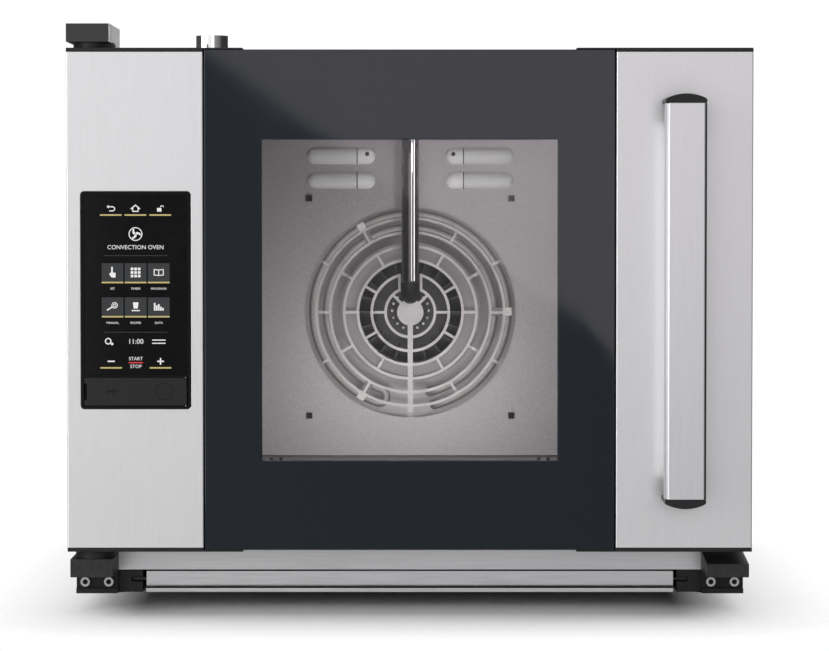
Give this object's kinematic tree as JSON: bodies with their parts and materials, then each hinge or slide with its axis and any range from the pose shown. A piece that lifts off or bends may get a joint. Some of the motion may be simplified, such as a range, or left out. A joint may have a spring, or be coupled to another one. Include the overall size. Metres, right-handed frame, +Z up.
{
  "type": "convection oven",
  "caption": "Countertop convection oven with a side hinged glass door, touch control, rear fan behind a slotted guard, tray racks, vent pipe and sliding drip tray.",
  "frame": {"origin": "on the floor, under the middle of the oven's box with its door shut", "axes": "+X to the right as seen from the front, +Y to the back, +Z up"},
  "size_m": [0.6, 0.669, 0.52],
  "materials": {
    "steel_sheet": "brushed stainless sheet",
    "cavity_steel": "satin stainless sheet",
    "fan_steel": "plain stainless steel",
    "bright_steel": "polished stainless tube",
    "screw_steel": "zinc plated screws",
    "fascia_steel": "finely brushed silver fascia",
    "handle_metal": "satin anodised bar",
    "black_casting": "black powder coated casting",
    "black_plastic": "black moulded plastic",
    "screen_glass": "black glossy touch screen",
    "outer_pane": "clear pane with a dark printed border",
    "inner_pane": "clear low-emission pane",
    "lamp_lens": "white lamp diffuser",
    "seal_rubber": "black silicone",
    "foot_rubber": "black rubber",
    "magnet": "dark plated magnet",
    "element_sheath": "heat darkened steel sheath",
    "mineral_wool": "mineral wool board",
    "motor_case": "cast motor case",
    "circuit_board": "green circuit board",
    "base_steel": "black coated steel channel",
    "brass": "turned brass fitting"
  },
  "bodies": {
    "oven_body": {"front_frame": "steel_sheet", "left_side_panel": "steel_sheet", "right_side_panel": "steel_sheet", "top_cover": "steel_sheet", "floor_pan": "steel_sheet", "rear_cover": "steel_sheet", "rear_cover_screws": "screw_steel", "base_frame": "base_steel", "feet": "foot_rubber", "cavity_liner": "cavity_steel", "insulation": "mineral_wool", "door_gasket": "seal_rubber", "door_magnet": "magnet", "left_tray_rack": "cavity_steel", "right_tray_rack": "cavity_steel", "fan_guard": "cavity_steel", "guard_posts": "cavity_steel", "shaft_seal": "seal_rubber", "motor_plate": "fan_steel", "fan_motor": "motor_case", "heating_element": "element_sheath", "element_clips": "cavity_steel", "water_tube": "bright_steel", "water_tube_nut": "bright_steel", "vent_pipe": "bright_steel", "vent_flange": "bright_steel", "upper_hinge_arm": "black_casting", "lower_hinge_block": "black_casting", "reverse_hinge_block": "black_casting", "hinge_screws": "screw_steel", "hinge_pins": "bright_steel", "drip_guides": "black_plastic", "water_inlet": "brass", "cable_gland": "black_plastic", "power_board": "circuit_board", "cooling_fan_frame": "black_plastic"},
    "convection_fan": {"fan_wheel": "fan_steel", "motor_shaft": "fan_steel", "fan_nut": "fan_steel"},
    "cooling_fan": {"cooling_fan_rotor": "black_plastic"},
    "drip_tray": {"drip_tray": "steel_sheet"},
    "door": {"door_pan": "steel_sheet", "glass_frame": "black_plastic", "outer_glass": "outer_pane", "inner_glass": "inner_pane", "door_lamps": "lamp_lens", "glass_clips": "black_plastic", "left_fascia": "fascia_steel", "right_fascia": "fascia_steel", "door_end_caps": "black_plastic", "handle_bar": "handle_metal", "handle_ends": "black_plastic", "touch_housing": "black_plastic", "flap_pin": "bright_steel", "touch_screen": "screen_glass", "control_board": "circuit_board", "hinge_bushes": "black_plastic", "magnet_keeper": "magnet"},
    "service_flap": {"service_flap": "black_plastic"}
  },
  "joints": [
    {"name": "door_hinge", "type": "hinge", "parent": "oven_body", "child": "door", "pos_m": [-0.277, -0.2645, 0.2775], "axis": [0, 0, -1], "range_deg": [0, 180]},
    {"name": "fan_spin", "type": "hinge", "parent": "oven_body", "child": "convection_fan", "pos_m": [0, 0.1755, 0.253], "axis": [0, 1, 0], "continuous": true},
    {"name": "cooling_fan_spin", "type": "hinge", "parent": "oven_body", "child": "cooling_fan", "pos_m": [-0.18, 0.306, 0.384], "axis": [0, 1, 0], "continuous": true},
    {"name": "drip_tray_slide", "type": "slide", "parent": "oven_body", "child": "drip_tray", "axis": [0, -1, 0], "range_m": [0, 0.3]},
    {"name": "service_flap_hinge", "type": "hinge", "parent": "door", "child": "service_flap", "pos_m": [-0.1959, -0.286, 0.19765], "axis": [0, 0, 1], "range_deg": [0, 95]}
  ]
}
